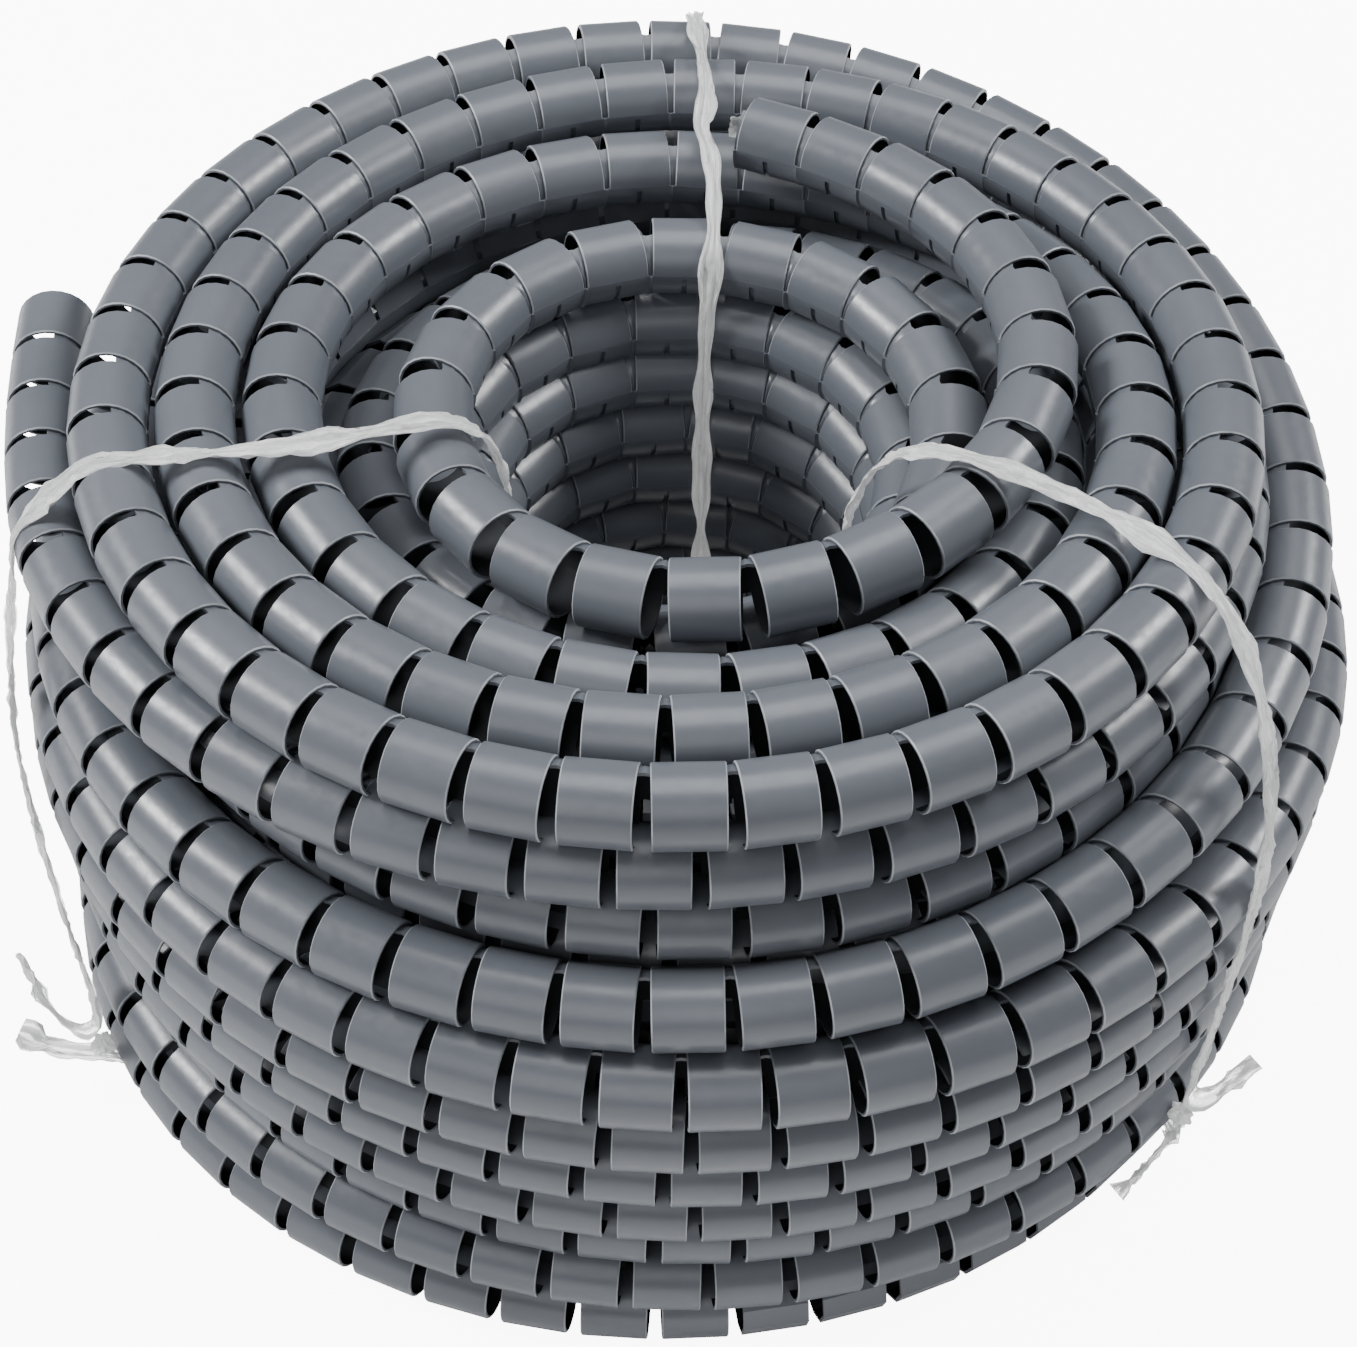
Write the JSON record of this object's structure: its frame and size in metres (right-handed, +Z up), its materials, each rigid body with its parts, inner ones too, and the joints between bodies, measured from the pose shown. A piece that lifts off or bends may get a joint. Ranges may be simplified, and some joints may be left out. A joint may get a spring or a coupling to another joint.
{
  "type": "tree guard tube",
  "caption": "Coil of slotted wrap-round plastic tree guard tube, wound into a free-standing ring and held by film ties.",
  "frame": {"origin": "on the ground, under the middle of the coil", "axes": "+Z up along the coil's axis; the sleeve's outer free end is at -X and its cut end on top is at +Y"},
  "size_m": [0.5103, 0.5106, 0.2787],
  "materials": {
    "sleeve": "satin",
    "tie_film": "translucent crumpled film",
    "clear_tape": "clear glossy film"
  },
  "bodies": {
    "root": {"sleeve_coil": "sleeve", "sleeve_outer_end": "sleeve", "sleeve_top_end": "sleeve", "tie_left": "tie_film", "tie_right": "tie_film", "tie_back": "tie_film", "tape_scrap": "clear_tape"}
  },
  "joints": []
}
